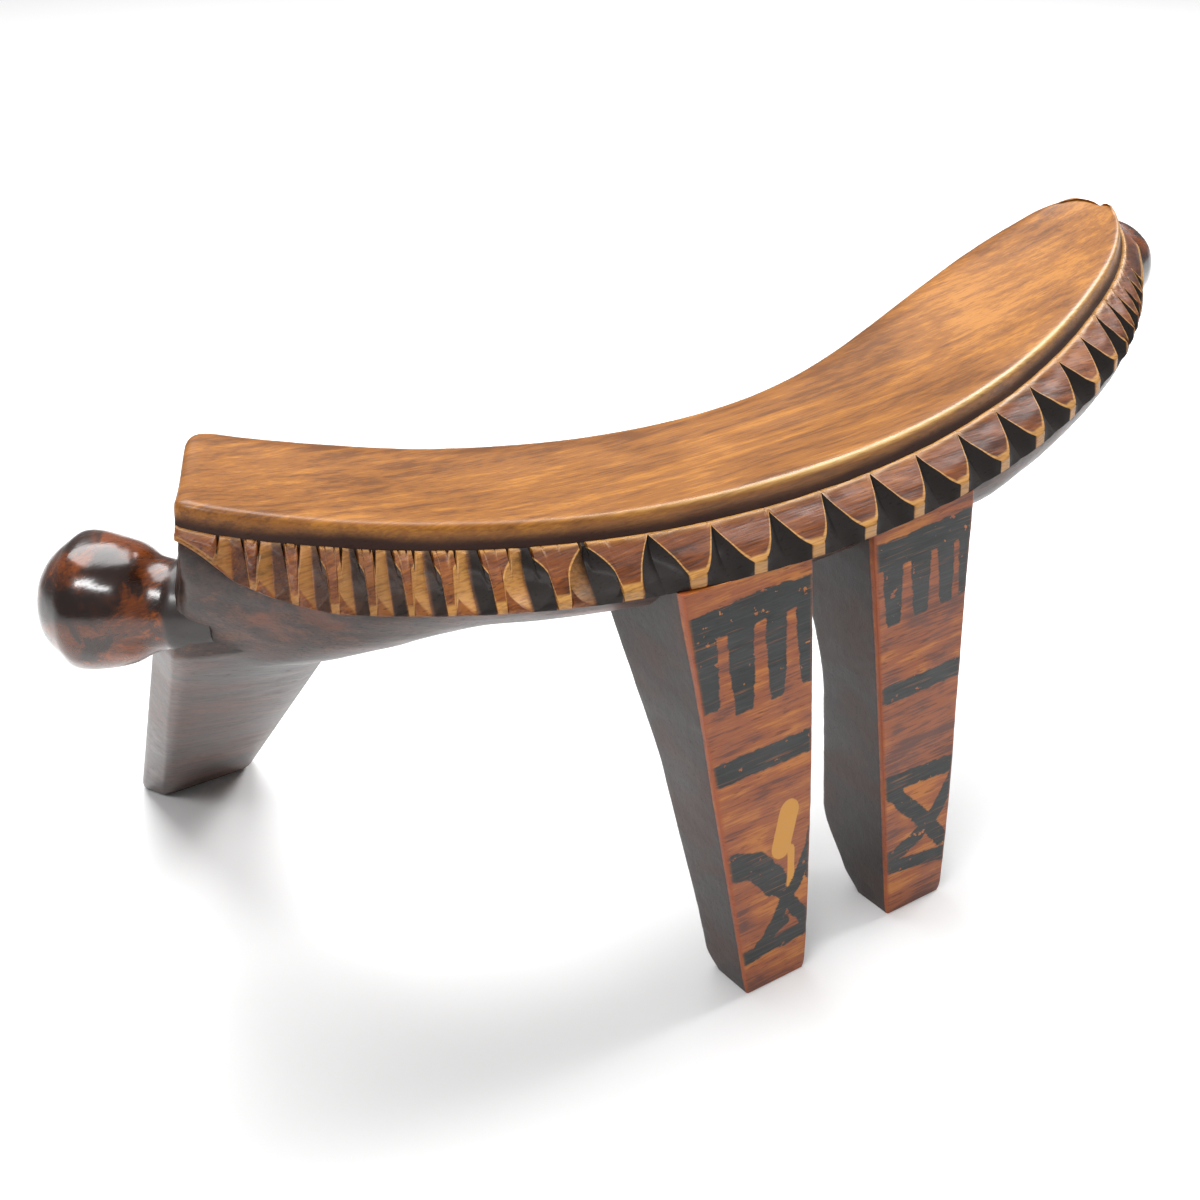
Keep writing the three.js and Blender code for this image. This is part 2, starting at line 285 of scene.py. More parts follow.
def shade(made, angle=38):
    made.data.shade_smooth()
    made.data.set_sharp_from_angle(angle=math.radians(angle))


# ---------------------------------------------------------------------------------------------
# Notches
# ---------------------------------------------------------------------------------------------
def pitch_left(away):
    return PITCH_LEFT_END + (PITCH_MIDDLE - PITCH_LEFT_END) * (1 - float(smooth(3, 8, away)))


def pitch_right(away):
    return PITCH_RIGHT_END + (PITCH_MIDDLE - PITCH_RIGHT_END) * (1 - float(smooth(4.5, 10.5, away)))


def notch_stations():
    """Each notch's station on the front edge and the pitch there, from left to right."""
    made = [(NOTCH_MIDDLE_X, PITCH_MIDDLE)]
    x = NOTCH_MIDDLE_X
    for i in range(NOTCHES_LEFT):
        x -= pitch_left(i + 0.5)
        made.insert(0, (x, pitch_left(i + 1)))
    x = NOTCH_MIDDLE_X
    for i in range(NOTCHES_RIGHT):
        x += pitch_right(i + 0.5)
        made.append((x, pitch_right(i + 1)))
    return made


def tip_at(x):
    """Distance in from the edge and lowest height of the ledge's tip at a station."""
    share = 0.2 + 0.8 * float(ledge_share(x))
    full = float(smooth(-190, -172, x))
    tip = lerp(10.6, LEDGE_ROOT_N * (1 - share), full)
    return tip, lerp(145.8, LEDGE_BOTTOM_H + 7 * (1 - share), full)


def notch_list():
    random = np.random.default_rng(7)
    made = []
    for x, pitch in notch_stations():
        tip, low = tip_at(x)
        half = NOTCH_SHARE * pitch / 2 * random.uniform(0.95, 1.05)
        plain = float(smooth(-115, -30, x))
        top = 11.2 - 2.6 * float(smooth(150, 190, x)) + random.uniform(-0.5, 0.5)
        wide = half * lerp(1.02, 1.0, plain)
        made.append(dict(x=x, half=wide, top=top, low=low, tip=tip, plain=plain,
                         lens=lerp(1.9, 6.0, float(smooth(-150, -60, x)))))
    return made


NOTCHES = notch_list()


def ledge_profile(x):
    """The outside of the ledge at a station, from behind the bead down to its lower arris."""
    tip, low = tip_at(x)
    near, _ = end_rounding(x)
    root = LEDGE_ROOT_N + near
    tall = lerp(0.9, 4.3, float(smooth(-150, -30, x)))
    slope_top = (root - 2.9, PAD_FOOT_H - 1.5)
    slope_low = (tip, low + tall)
    bulge = lerp(0.9, 0.35, float(smooth(-150, -60, x)))
    middle = ((slope_top[0] + slope_low[0]) / 2, (slope_top[1] + slope_low[1]) / 2 + bulge)
    return np.array([
        (root + 3.2, PAD_FOOT_H - 2.5),
        (root + 1.4, PAD_FOOT_H - 0.9),
        (root + 0.5, PAD_FOOT_H - 0.1),
        (root - 0.3, PAD_FOOT_H + 0.25),
        (root - 1.2, PAD_FOOT_H + 0.05),
        (root - 2.0, PAD_FOOT_H - 0.75),
        slope_top,
        middle,
        (slope_low[0] + 0.35, slope_low[1] + 0.1),
        (slope_low[0], slope_low[1] - 0.3),
        (tip, low + 0.3),
        (tip + 0.35, low),
    ])


def cut_at(x, depths, heights):
    """How far in from the edge the notches reach at a station, at points of the ledge's surface.

    To the left a notch is a lens pointed at both ends; elsewhere it is a wedge, deep at the top,
    whose floor slants out to the lower arris.
    """
    deepest = np.full(len(heights), -99.0)
    for notch in NOTCHES:
        away = abs(x - notch["x"])
        if away >= notch["half"] * 1.6:
            continue
        share = away / notch["half"]
        down = np.clip((PAD_FOOT_H - 0.4 - heights) / (PAD_FOOT_H - 0.4 - notch["low"]), 0, 1)
        lens = depths + notch["lens"] * (np.sin(np.pi * down ** 0.9) ** 0.95 - share)
        floor = lerp(notch["top"], notch["tip"] + 0.7, down ** 1.3)
        wedge = notch["tip"] + (floor - notch["tip"]) * (1 - share)
        deepest = np.maximum(deepest, lerp(lens, wedge, notch["plain"]))
    return deepest


def rim_stations():
    exact = [v for n in NOTCHES for v in (n["x"] - n["half"], n["x"], n["x"] + n["half"])]
    exact += [n["x"] + s * 0.12 for n in NOTCHES for s in (-1, 1)]
    plain = np.arange(SEAT_LEFT_X, SEAT_RIGHT_X, 0.9)
    plain = [x for x in plain if min(abs(x - e) for e in exact) > 0.3]
    return sorted(plain + [e for e in exact if SEAT_LEFT_X < e < SEAT_RIGHT_X] + [SEAT_RIGHT_X])


def make_rim():
    rings, wear_and_highlight, soot_and_shade = [], [], []
    counts = (30, 20, 6)
    for x in rim_stations():
        profile = ledge_profile(x)
        dense = resample(profile, 500)
        spare = cut_at(x, dense[:, 0], dense[:, 1]) - dense[:, 0]
        inside = np.nonzero(spare > 0)[0]
        along = np.linspace(0, 1, 500)
        if len(inside):
            t1, t2 = along[inside[0]], along[inside[-1]]
            depth = float(spare.max())
        else:
            steps = np.linalg.norm(np.diff(profile, axis=0), axis=1)
            lengths = np.concatenate([[0], np.cumsum(steps)])
            t1, t2 = lengths[8] / lengths[-1], lengths[10] / lengths[-1]
            depth = 0.0
        t2 = min(max(t2, t1 + 0.02), 0.995)
        t = np.concatenate([np.linspace(0, t1, counts[0], endpoint=False),
                            np.linspace(t1, t2, counts[1], endpoint=False),
                            np.linspace(t2, 1, counts[2])])
        n = np.interp(t, along, dense[:, 0])
        h = np.interp(t, along, dense[:, 1])
        n = np.maximum(n, cut_at(x, n, h))
        low = float(h[-1])
        closing = np.array([(max(n[-1], 3.0) + 3.0, low + 0.05), (14.6, low + 0.05),
                            (15.6, PAD_FOOT_H - 2.8)])
        section = np.vstack([np.column_stack([n, h]), closing])
        rings.append(seat_points(x, section))
        root = LEDGE_ROOT_N + end_rounding(x)[0]
        bead = np.exp(-(section[:, 0] - (root - 0.4)) ** 2) * (section[:, 1] > PAD_FOOT_H - 1.3)
        # Painted shade and patina: the notch walls get the dark colour, partly for the dark patina in
        # the cuts and partly as shade in the recesses. At the left end only the right-hand walls, which
        # face away from the key light, are darkened; the left-hand walls get the light colour instead,
        # as a painted highlight.
        shaded_walls = np.zeros(len(section))
        lit = np.zeros(len(section))
        if depth > 0:
            notch = min(NOTCHES, key=lambda each: abs(each["x"] - x))
            leaf = 1 - float(smooth(-120, -60, x))
            rubbed_and_lit = leaf * float(smooth(0.1, -0.1, (x - notch["x"]) / notch["half"]))
            shaded_walls[counts[0]:] = 1 - rubbed_and_lit
            lit[counts[0]:counts[0] + counts[1]] = 0.7 * rubbed_and_lit
        # Abrasion and painted highlight: the arris at each tooth's tip, and the whole tip facet where
        # no notch cuts it, get the light colour.
        arris = np.zeros(len(section))
        arris[counts[0] - 2:counts[0] + 1] = 0.8
        if depth == 0:
            arris[counts[0]:counts[0] + counts[1]] = 0.75
        wear_and_highlight.append(np.maximum(np.maximum(bead, arris), lit))
        soot_and_shade.append(shaded_walls)
    made = loft("toothed_rim_carved", rings)
    co = positions(made)
    extra = np.zeros(2)
    wear_and_highlight = np.concatenate([np.concatenate(wear_and_highlight), extra]) * (0.5 + 0.5 * smooth(-175, -110, co[:, 0]))
    soot_and_shade = np.concatenate([np.concatenate(soot_and_shade), extra])
    # Towards the left end the notch walls are darkened less, and the whole ledge is darkened a little.
    left = 1 - smooth(-150, -60, co[:, 0])
    set_value(made, "wear_and_highlight", wear_and_highlight)
    set_value(made, "soot_and_shade", np.maximum(soot_and_shade * (1 - 0.45 * left), 0.3 * left))
    carve(made, [((9, 4, 4), 0.16, 3), ((3, 1.5, 1.5), 0.05, 4)])
    shade(made, 30)
    return made


# ---------------------------------------------------------------------------------------------
# Pad, body, legs and knobs
# ---------------------------------------------------------------------------------------------
def make_pad():
    """The raised pad: a cove along its near side, an arris with a pale line along it (partly abrasion,
    partly painted highlight), a shallow dish, a rounded back.
    """
    stations = np.concatenate([
        SEAT_LEFT_X + np.array([0, 0.25, 0.8, 1.6, 2.6, 3.8]),
        np.linspace(SEAT_LEFT_X + 5.2, SEAT_RIGHT_X - 5.2, 250),
        SEAT_RIGHT_X - np.array([3.8, 2.6, 1.6, 0.8, 0.25, 0]),
    ])
    rings, wear_and_highlight, cove = [], [], []
    for x in stations:
        near_in, far_in = end_rounding(x)
        near = LEDGE_ROOT_N + 0.3 + near_in
        far = width_at(x) - far_in
        across = far - near
        to_end = min(x - SEAT_LEFT_X, SEAT_RIGHT_X - x)
        drop = 2.6 * (1 - math.sqrt(1 - (1 - min(1.0, to_end / 4.0)) ** 2))
        top = SEAT_TOP_H
        side = [(near + 0.1, PAD_FOOT_H - 2.5), (near, PAD_FOOT_H - 0.2),
                (near + 0.55, PAD_FOOT_H + 0.9), (near + 1.0, PAD_FOOT_H + 2.4),
                (near + 1.25, PAD_FOOT_H + 4.2), (near + 1.5, top - 1.3)]
        crest = [(near + 1.75, top - 0.75), (near + 2.3, top - 0.25), (near + 3.1, top + 0.02),
                 (near + 4.2, top + 0.05)]
        dish = [(near + s * across, top - 1.15 * math.sin(math.pi * min(1, max(0, (s - 0.08) / 0.84))))
                for s in np.linspace(0.14, 0.86, 22)]
        back = [(far - 4.6, top - 0.15), (far - 3.0, top - 0.55), (far - 1.7, top - 1.35),
                (far - 0.8, top - 2.6), (far - 0.25, top - 4.2), (far, PAD_FOOT_H + 0.3),
                (far, PAD_FOOT_H - 2.5)]
        section = np.array(resample(side, 16).tolist() + crest + dish + back)
        over = np.clip((section[:, 1] - PAD_FOOT_H) / (top - PAD_FOOT_H), 0, 1)
        section[:, 1] -= drop * over
        rings.append(seat_points(x, section))
        s = (section[:, 0] - near) / across
        # Painted highlight, partly abrasion: a pale line along the crest of the near arris.
        wear_and_highlight.append(np.exp(-((section[:, 0] - near - 2.1) / 0.5) ** 2) * (section[:, 1] > top - 1.6))
        # Painted shade: the cove on the near side gets darker towards its bottom, in the crease above
        # the ledge.
        cove.append(np.clip(1.15 - over * 1.1, 0, 1) * (s < 0.2))
    made = loft("seat_pad_carved", rings)
    co = positions(made)
    extra = np.zeros(2)
    # The pale crest line fades out towards the left end and weakens at the right end.
    strength = smooth(-120, 30, co[:, 0]) * (1 - 0.6 * smooth(120, 180, co[:, 0]))
    set_value(made, "wear_and_highlight", np.concatenate([np.concatenate(wear_and_highlight), extra]) * strength)
    set_value(made, "soot_and_shade", np.concatenate([np.concatenate(cove), extra]) * 0.8)
    carve(made, [((60, 26, 30), 0.35, 11), ((16, 9, 9), 0.10, 12), ((5, 3, 3), 0.03, 13)])
    shade(made, 45)
    return made


def hull_section(x, count):
    near_in, far_in = end_rounding(x)
    drop = HULL_LEFT_DROP * (1 - float(smooth(-180, -105, x)))
    lift = 8 * float(smooth(150, SEAT_RIGHT_X, x))
    bottom = HULL_BOTTOM_H - drop + lift
    under = LEDGE_BOTTOM_H - 0.3
    keel = under - bottom
    far = width_at(x) - far_in
    lean = 1 - float(smooth(-182, -115, x))
    full = float(smooth(20, 80, x))
    start = 4 + near_in + 5.5 * (1 - float(smooth(SEAT_LEFT_X, -145, x))) - 2 * full
    across = far - start
    tip, low = tip_at(x)
    lip = max(start + 0.6, tip + 1.0)
    shell = curve_through([
        (start + 0.15, under),
        (start + (0.08 + 0.03 * lean - 0.07 * full) * across, under - 0.34 * keel),
        (start + (0.18 + 0.06 * lean - 0.12 * full) * across, under - 0.66 * keel),
        (start + (0.32 + 0.08 * lean - 0.17 * full) * across, under - 0.9 * keel),
        (start + (0.5 + 0.05 * lean) * across, bottom), (start + 0.68 * across, bottom + 0.08 * keel),
        (start + 0.84 * across, bottom + 0.4 * keel), (start + 0.95 * across, under),
        (far - 0.1, PAD_FOOT_H - 5), (far - 0.1, PAD_FOOT_H - 0.6)], count)
    top = [(lerp(start, far, 0.5), PAD_FOOT_H - 1), (LEDGE_ROOT_N + near_in + 4, PAD_FOOT_H - 1),
           (LEDGE_ROOT_N + near_in + 0.4, PAD_FOOT_H - 2.4),
           (lerp(lip, LEDGE_ROOT_N + near_in, 0.35), lerp(low + 1, PAD_FOOT_H - 2.5, 0.35)),
           (lip, low + 1.0)]
    return np.vstack([shell, top])


def leg_outline(leg, v):
    """Outline of a front leg at height share v, from the front left corner round the front."""
    left, right = lerp(leg["foot"][0], leg["top"][0], v), lerp(leg["foot"][1], leg["top"][1], v)
    front = lerp(leg["foot_front"], leg["top_front"], v ** 1.2)
    back = (leg["middle"] - leg["toe"] * (1 - float(smooth(0, leg["toe_share"], v)))
            - FOOT_ROUNDING * (1 - float(smooth(0, 0.05, v)))
            + leg["flare"] * float(smooth(0.5, 1, v)))
    tuck = 0.5 * math.exp(-v / 0.012)
    left, right, front, back = left + tuck, right - tuck, front + tuck, back - tuck

    def round_corner(cx, cy, r, start):
        angles = np.radians(start + np.linspace(0, 90, 7))
        return [(cx + r * math.cos(a), cy + r * math.sin(a)) for a in angles]

    r_front, r_back = FRONT_CORNER_RADIUS, BACK_CORNER_RADIUS
    shape = []
    shape += [(x, front) for x in np.linspace(left + r_front, right - r_front, 60)[1:-1]]
    shape += round_corner(right - r_front, front + r_front, r_front, -90)
    shape += [(lerp(right, right - 1, s), lerp(front + r_front, back - r_back, s))
              for s in np.linspace(0.08, 0.92, 9)]
    shape += round_corner(right - 1 - r_back, back - r_back, r_back, 0)
    shape += round_corner(left + 1 + r_back, back - r_back, r_back, 90)
    shape += [(lerp(left + 1, left, s), lerp(back - r_back, front + r_front, s))
              for s in np.linspace(0.08, 0.92, 9)]
    shape += round_corner(left + r_front, front + r_front, r_front, 180)
    return np.array(shape)


def make_front_leg(name, leg, paint, seed):
    levels = np.concatenate([[0, 0.002, 0.006, 0.012], np.linspace(0.02, 1.0, 120)])
    rings = []
    for v in levels:
        outline = leg_outline(leg, v)
        top = LEDGE_BOTTOM_H - 0.1 + rise(outline[:, 0])
        rings.append(np.column_stack([outline, v * top]))
    made = loft(name, rings)
    co = positions(made)
    top = LEDGE_BOTTOM_H + rise(co[:, 0])
    v = np.clip(co[:, 2] / top, 0, 1)
    left, right = lerp(leg["foot"][0], leg["top"][0], v), lerp(leg["foot"][1], leg["top"][1], v)
    front = lerp(leg["foot_front"], leg["top_front"], v ** 1.2)
    facing = 1 - smooth(0.2, 1.5, co[:, 1] - front)
    side = np.minimum(co[:, 0] - left, right - co[:, 0])
    edge = np.exp(-(np.maximum(side, 0) / 0.7) ** 2) * (1 - smooth(0.6, 2.4, co[:, 1] - front))
    set_value(made, "paint", np.where(facing > 0.4, -paint(co[:, 0], co[:, 2]), -9))
    set_value(made, "front", facing)
    set_value(made, "wear_and_highlight", edge)
    set_value(made, "bare", bare_patch(leg, co) * facing)
    carve(made, [((26, 20, 34), 0.3, seed), ((7, 5, 3), 0.07, seed + 1)])
    shade(made, 42)
    return made


def ease_corners(points):
    """The outline with each corner cut back a little, twice over."""
    p = np.asarray(points, float)
    for _ in range(2):
        q = np.roll(p, -1, axis=0)
        p = np.stack([0.9 * p + 0.1 * q, 0.1 * p + 0.9 * q], 1).reshape(-1, p.shape[1])
    return p


def make_rear_leg_core():
    rings = []
    top = np.array(REAR_TOP, float)
    for level in [0, 0.01, 0.03, *np.linspace(0.07, 1.0, 40), 1.08, 1.17, 1.27]:
        if level <= 1:
            ring = lerp(np.array(REAR_FOOT, float), top, level)
        else:
            ring = lerp(top, np.array(REAR_SHOULDER, float), (level - 1) / 0.27)
        centre = ring.mean(0)
        inset = 1.4 * math.exp(-level / 0.012)
        ring = ease_corners(ring)
        away = ring - centre
        reach = np.linalg.norm(away, axis=1, keepdims=True)
        ring = centre + away * (reach - inset) / reach
        rings.append(np.column_stack([ring, np.full(len(ring), level * REAR_TOP_Z)]))
    return loft("rear_leg_core", rings)


def make_body():
    """The beam under the pad, flowing into the rear leg, and the rear leg on its own.

    The beam's skin is remeshed over both, so it covers the rear leg as well.
    """
    stations = np.concatenate([SEAT_LEFT_X + np.array([0.1, 1.0, 2.4]),
                               np.linspace(SEAT_LEFT_X + 4, SEAT_RIGHT_X - 4, 170),
                               SEAT_RIGHT_X - np.array([2.4, 1.0, 0.1])])
    hull = loft("body_beam_carved", [seat_points(x, hull_section(x, 64)) for x in stations])
    leg = make_rear_leg_core()
    bpy.context.view_layer.update()
    bm = bmesh.new()
    bm.from_mesh(hull.data)
    bm.from_mesh(leg.data)
    bm.to_mesh(hull.data)
    bm.free()
    remesh = hull.modifiers.new("remesh", "REMESH")
    remesh.mode = "VOXEL"
    remesh.voxel_size = VOXEL_SIZE_M
    apply_modifiers(hull)
    relax(hull, 12)
    return hull, leg


def relax(made, rounds):
    bm = bmesh.new()
    bm.from_mesh(made.data)
    for _ in range(rounds):
        bmesh.ops.smooth_vert(bm, verts=bm.verts, factor=0.5, use_axis_x=True,
                              use_axis_y=True, use_axis_z=True)
    bm.to_mesh(made.data)
    bm.free()


def knob_root(knob):
    edge, back = edge_point(knob["station"]), back_point(knob["station"])
    return np.array([*lerp(edge, back, knob["share"]), knob["root_z"]])


def make_knob(name, knob, seed):
    """A turned-looking knob cut by hand: a short waisted neck that swells into a blunt bulb."""
    root, centre = knob_root(knob), np.array(knob["centre"], float)
    radius, neck, flat = knob["radius"], knob["neck"], knob["flat"]
    reach = np.linalg.norm(centre - root)
    axis = (centre - root) / reach
    up = np.array([0, 0, 1.0])
    sideways = np.cross(up, axis)
    sideways /= np.linalg.norm(sideways)
    up = np.cross(axis, sideways)
    profile = curve_through([
        (-9, neck - 3.0), (0.5, neck - 0.2), (0.16 * reach, neck - 0.4),
        (0.34 * reach, neck + 0.5), (reach - 0.58 * radius, 0.87 * radius),
        (reach - 0.12 * radius, 0.985 * radius), (reach + 0.2 * radius, 0.985 * radius),
        (reach + 0.5 * flat * radius, 0.86 * radius), (reach + 0.82 * flat * radius, 0.62 * radius),
        (reach + 0.96 * flat * radius, 0.34 * radius), (reach + flat * radius, 0.02)], 70)
    angles = np.linspace(0, 2 * np.pi, 112, endpoint=False)
    rings = [root + axis * along + r * (np.cos(angles)[:, None] * sideways
                                        + np.sin(angles)[:, None] * up) for along, r in profile]
    made = loft(name, rings)
    carve(made, [((11, 11, 11), 0.45, seed), ((4, 3, 3), 0.09, seed + 1)])
    co = positions(made)
    along = (co - root) @ axis
    # Painted shade: the knob is darkened at the root of its neck, where it meets the body.
    set_value(made, "soot_and_shade", 1 - smooth(-1, 7, along))
    set_value(made, "wear_and_highlight", smooth(-0.6, 0.8, noise(co, 9, seed + 2)) * smooth(4, 12, along))
    shade(made, 60)
    return made


# ---------------------------------------------------------------------------------------------
# Painted pattern: distances, in millimetres, from the strokes brushed on the legs' front faces
# ---------------------------------------------------------------------------------------------
def stroke(x, z, points, half):
    best = np.full(len(x), 99.0)
    for (ax, az), (bx, bz) in zip(points, points[1:]):
        dx, dz = bx - ax, bz - az
        t = np.clip(((x - ax) * dx + (z - az) * dz) / (dx * dx + dz * dz), 0, 1)
        best = np.minimum(best, np.hypot(x - ax - t * dx, z - az - t * dz))
    return best - half


def finger(x, z, middle, half, top, low, lean=0.0):
    """A downward stroke that thins towards its lower end."""
    share = np.clip((top - z) / (top - low), 0, 1)
    side = np.abs(x - middle - lean * share) - half * (1 - 0.35 * share ** 2)
    return np.maximum(side, np.maximum(z - top, low - z))


def slab(z, low, high):
    return np.maximum(low - z, z - high)


def paint_left(x, z):
    parts = [
        slab(z + 0.03 * np.abs(x + 30), 120.6, 129.6),
        finger(x, z, -55.6, 5.8, 122, 98, 2.2),
        finger(x, z, -40.9, 5.0, 122, 94.5, 0.5),
        finger(x, z, -27.2, 4.1, 122, 95, -0.8),
        finger(x, z, -15.8, 4.0, 122, 96, 0.0),
        slab(z, 73.8, 81.3),
        stroke(x, z, [(-47, 46), (-38, 43), (-31, 35)], 4.6),
        stroke(x, z, [(-34, 38), (-28, 30), (-18, 16)], 2.4),
        stroke(x, z, [(-15, 49), (-17, 42), (-22, 33), (-27, 27), (-34, 18)], 2.3),
        stroke(x, z, [(-15, 47), (-17.5, 33)], 1.7),
        stroke(x, z, [(-38, 16), (-27, 20)], 1.6),
        slab(z - 0.06 * (x + 30), 11.6, 16.4),
    ]
    return np.minimum.reduce(parts)


def paint_right(x, z):
    parts = [
        slab(z - 0.04 * (x - 34), 121.3, 130.2),
        finger(x, z, 20.4, 4.2, 123, 101.5, 0.8),
        finger(x, z, 32.3, 4.3, 123, 102, 0.2),
        finger(x, z, 43.0, 3.6, 123, 102.5, 0.2),
        finger(x, z, 51.4, 2.8, 123, 103.5, -0.6),
        slab(z, 75.9, 82.2),
        slab(z + 0.06 * (x - 34), 43.8, 49.8),
        stroke(x, z, [(19, 47), (25, 40), (34, 31), (43, 20)], 2.9),
        stroke(x, z, [(49, 42), (40, 30.5), (31, 24), (19, 20)], 2.7),
        slab(z + 0.14 * (x - 31), 13.6, 18.6),
    ]
    return np.minimum.reduce(parts)


def bare_patch(leg, co):
    """Where the leg's face is rubbed down to yellow wood."""
    if leg is not LEFT_LEG:
        return 0.35 * (1 - smooth(0, 6, stroke(co[:, 0], co[:, 2], [(30, 66), (36, 58)], 5)))
    patch = np.minimum(stroke(co[:, 0], co[:, 2], [(-25, 57), (-28.5, 46)], 3.6),
                       stroke(co[:, 0], co[:, 2], [(-24.5, 44), (-25, 30)], 1.2))
    return 1 - smooth(-0.6, 1.2, patch)


# ---------------------------------------------------------------------------------------------
# Materials
# ---------------------------------------------------------------------------------------------
class Graph:
    """Short names for building a material's nodes."""

    def __init__(self, name):
        self.material = bpy.data.materials.new(name)
        self.material.use_nodes = True
        self.tree = self.material.node_tree
        self.shader = self.tree.nodes["Principled BSDF"]
        self.coords = self.tree.nodes.new("ShaderNodeTexCoord").outputs["Object"]

    def put(self, socket, value):
        if isinstance(value, bpy.types.NodeSocket):
            self.tree.links.new(value, socket)
        elif hasattr(value, "__len__") and len(value) == 3 and socket.type == "RGBA":
            socket.default_value = (*value, 1)
        else:
            socket.default_value = value

    def attribute(self, name):
        node = self.tree.nodes.new("ShaderNodeAttribute")
        node.attribute_name = name
        return node.outputs["Fac"]

    def math(self, operation, a, b=0.0, clamp=False):
        node = self.tree.nodes.new("ShaderNodeMath")
        node.operation = operation
        node.use_clamp = clamp
        self.put(node.inputs[0], a)
        self.put(node.inputs[1], b)
        return node.outputs[0]

    def span(self, value, low, high, out_low=0.0, out_high=1.0):
        node = self.tree.nodes.new("ShaderNodeMapRange")
        node.interpolation_type = "SMOOTHSTEP"
        for i, v in enumerate((value, low, high, out_low, out_high)):
            self.put(node.inputs[i], v)
        return node.outputs[0]

    def mix(self, factor, a, b, blend="MIX"):
        node = self.tree.nodes.new("ShaderNodeMix")
        node.data_type = "RGBA"
        node.blend_type = blend
        self.put(node.inputs[0], factor)
        self.put(node.inputs[6], a)
        self.put(node.inputs[7], b)
        return node.outputs[2]

    def noise(self, scale, detail=3.0, shift=0.0, distortion=0.0):
        """Noise with its own scale along each axis, in bumps per metre."""
        mapping = self.tree.nodes.new("ShaderNodeMapping")
        self.put(mapping.inputs["Vector"], self.coords)
        mapping.inputs["Scale"].default_value = scale
        mapping.inputs["Location"].default_value = (shift, shift * 0.7, shift * 1.3)
        node = self.tree.nodes.new("ShaderNodeTexNoise")
        self.put(node.inputs["Vector"], mapping.outputs[0])
        node.inputs["Scale"].default_value = 1.0
        node.inputs["Detail"].default_value = detail
        node.inputs["Distortion"].default_value = distortion
        return node.outputs[0]

    def ramp(self, value, stops):
        node = self.tree.nodes.new("ShaderNodeValToRGB")
        node.color_ramp.interpolation = "EASE"
        elements = node.color_ramp.elements
        while len(elements) < len(stops):
            elements.new(0.5)
        for element, (at, color) in zip(elements, stops):
            element.position = at
            element.color = (*color, 1)
        self.put(node.inputs[0], value)
        return node.outputs[0]

    def bump(self, height, distance, strength, normal=None):
        node = self.tree.nodes.new("ShaderNodeBump")
        node.inputs["Distance"].default_value = distance
        node.inputs["Strength"].default_value = strength
        self.put(node.inputs["Height"], height)
        if normal is not None:
            self.put(node.inputs["Normal"], normal)
        return node.outputs[0]


def srgb(r, g, b):
    """Linear colour from an 8-bit display colour."""
    shares = (r / 255, g / 255, b / 255)
    return tuple(v / 12.92 if v <= 0.04 else ((v + 0.055) / 1.055) ** 2.4 for v in shares)


def wood(name, dark, mid, light, worn_and_lit, soot_and_shade, fleck=0.5, patches=(16, 26, 26)):
    """Wood colour: streaks, patches and pores, then a light colour on abraded arrises that also serves
    as painted highlight, and a dark colour, broken up by the patches, that paints shade into hollows
    and creases, with some patina.
    """
    g = Graph(name)
    broad = g.noise((22, 330, 330), 4, 1.3, 0.25)
    fine = g.noise((110, 1700, 1700), 3, 4.1)
    patch = g.noise(patches, 4, 7.7, 0.4)
    tone = g.math("ADD", g.math("MULTIPLY", broad, 0.36), g.math("MULTIPLY", fine, 0.24))
    tone = g.math("ADD", tone, g.math("MULTIPLY", patch, 0.40))
    color = g.ramp(g.span(tone, 0.36, 0.64), [(0.0, dark), (0.5, mid), (1.0, light)])
    pores = g.span(g.noise((170, 1300, 1300), 2, 2.9), 0.60, 0.70)
    color = g.mix(g.math("MULTIPLY", pores, fleck), color, dark)
    # Light colour for abraded arrises, also used as painted highlight on tooth tips, the pad's crest
    # and the lit halves of notches.
    worn_and_lit_amount = g.math("MULTIPLY", g.attribute("wear_and_highlight"), g.span(fine, 0.3, 0.6, 0.55, 1.0))
    color = g.mix(worn_and_lit_amount, color, worn_and_lit)
    # Painted shade with some patina: the dark colour, broken up by the patches, only where the
    # attribute marks creases and recesses.
    grime_and_shade = g.math("ADD", g.attribute("soot_and_shade"), g.math("MULTIPLY", g.math("SUBTRACT", patch, 0.5), 0.9))
    grime_and_shade = g.math("MULTIPLY", g.span(grime_and_shade, 0.25, 0.8), g.span(g.attribute("soot_and_shade"), 0.02, 0.25))
    color = g.mix(grime_and_shade, color, soot_and_shade)
    return g, color, dict(broad=broad, fine=fine, patch=patch, grime_and_shade=grime_and_shade, pores=pores)


def finish_wood(g, color, parts, rough, coat, grain_bump):
    g.put(g.shader.inputs["Base Color"], color)
    roughness = g.span(parts["patch"], 0.3, 0.7, rough[0], rough[1])
    roughness = g.math("ADD", roughness, g.math("MULTIPLY", parts["pores"], 0.12))
    roughness = g.math("ADD", roughness, g.math("MULTIPLY", parts["grime_and_shade"], 0.35))
    g.put(g.shader.inputs["Roughness"], roughness)
    g.shader.inputs["Coat Weight"].default_value = coat
    g.shader.inputs["Coat Roughness"].default_value = 0.22
    g.shader.inputs["Specular IOR Level"].default_value = 0.5
    scratch = g.noise((260, 60, 60), 3, 9.2)
    height = g.math("ADD", g.math("MULTIPLY", parts["fine"], 0.5), g.math("MULTIPLY", scratch, 0.5))
    normal = g.bump(height, 0.00025, grain_bump)
    normal = g.bump(parts["broad"], 0.0006, grain_bump * 0.6, normal)
    g.put(g.shader.inputs["Normal"], normal)
    return g.material


